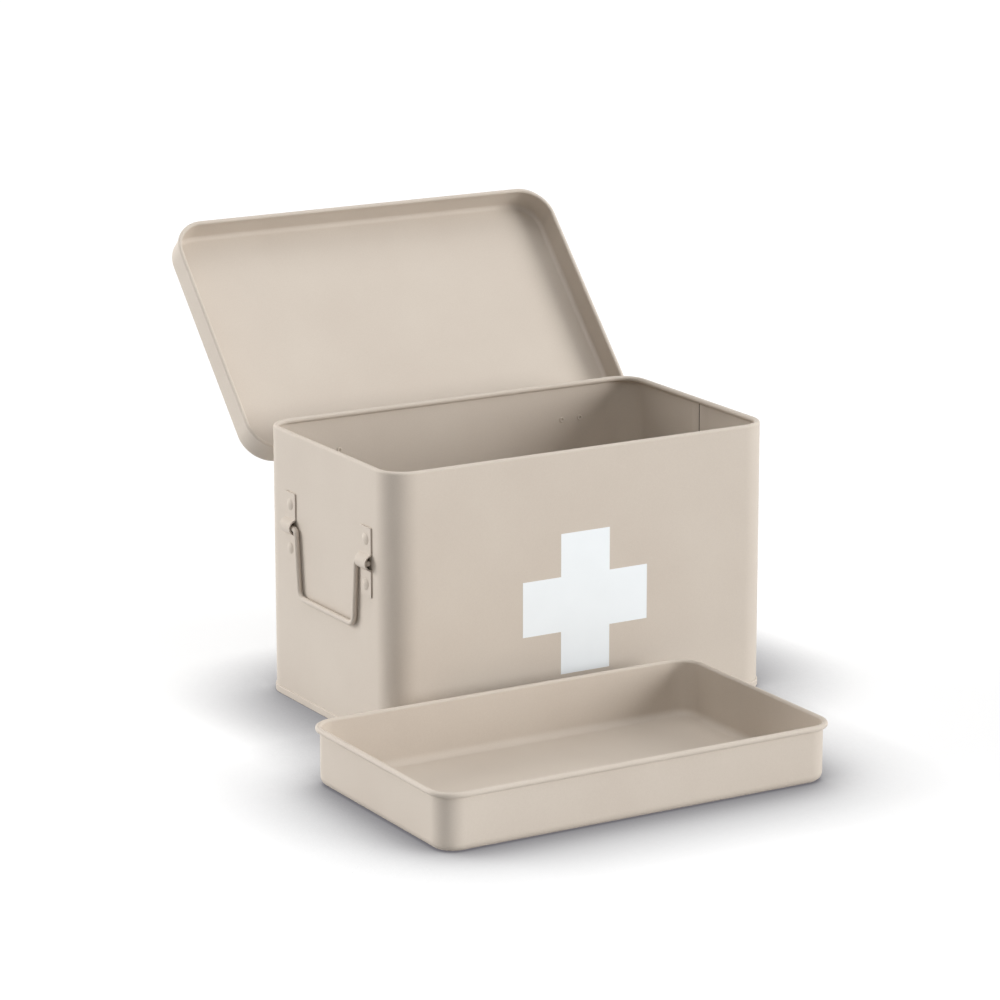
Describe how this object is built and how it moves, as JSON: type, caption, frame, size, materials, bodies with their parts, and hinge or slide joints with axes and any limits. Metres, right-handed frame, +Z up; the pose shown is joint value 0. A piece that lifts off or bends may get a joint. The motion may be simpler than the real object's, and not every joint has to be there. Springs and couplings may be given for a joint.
{
  "type": "first aid storage box",
  "caption": "Powder-coated steel first-aid box with a hinged pan lid, wire bail handles, a plain cross on the front and a lift-out tray.",
  "frame": {"origin": "centre of the box's underside, on the surface it stands on; the tray stands beside it, in front", "axes": "+X to the right along the box's width, the front with the cross faces -Y, +Z up"},
  "size_m": [0.4078, 0.5621, 0.3284],
  "materials": {
    "coat": "satin powder coat, warm beige",
    "tray_coat": "satin powder coat, warm beige",
    "wire": "satin powder coat on bent steel wire",
    "enamel": "white enamel film"
  },
  "bodies": {
    "box": {"body_wall": "coat", "base_panel": "coat", "enamel_cross": "enamel", "hinge_left_body_leaf": "coat", "hinge_right_body_leaf": "coat", "hinge_left_pin": "coat", "hinge_right_pin": "coat", "hinge_body_rivets": "coat", "bracket_left_front": "coat", "bracket_left_rear": "coat", "bracket_right_front": "coat", "bracket_right_rear": "coat", "bracket_left_rivets": "coat", "bracket_right_rivets": "coat"},
    "lid": {"lid_pan": "coat", "hinge_left_lid_leaf": "coat", "hinge_right_lid_leaf": "coat", "hinge_lid_rivets": "coat"},
    "handle_left": {"bail_left": "wire"},
    "handle_right": {"bail_right": "wire"},
    "tray": {"tray": "tray_coat"}
  },
  "joints": [
    {"name": "lid_hinge", "type": "hinge", "parent": "box", "child": "lid", "pos_m": [0, 0.0989, 0.18305], "axis": [1, 0, 0], "range_deg": [0, 133]},
    {"name": "bail_left_hinge", "type": "hinge", "parent": "box", "child": "handle_left", "pos_m": [-0.16235, -0.004, 0.1326], "axis": [0, 1, 0], "range_deg": [0, 150]},
    {"name": "bail_right_hinge", "type": "hinge", "parent": "box", "child": "handle_right", "pos_m": [0.16235, -0.004, 0.1326], "axis": [0, -1, 0], "range_deg": [0, 150]},
    {"name": "tray_lift", "type": "slide", "parent": "box", "child": "tray", "axis": [0, 0, 1], "range_m": [0, 0.25]}
  ]
}
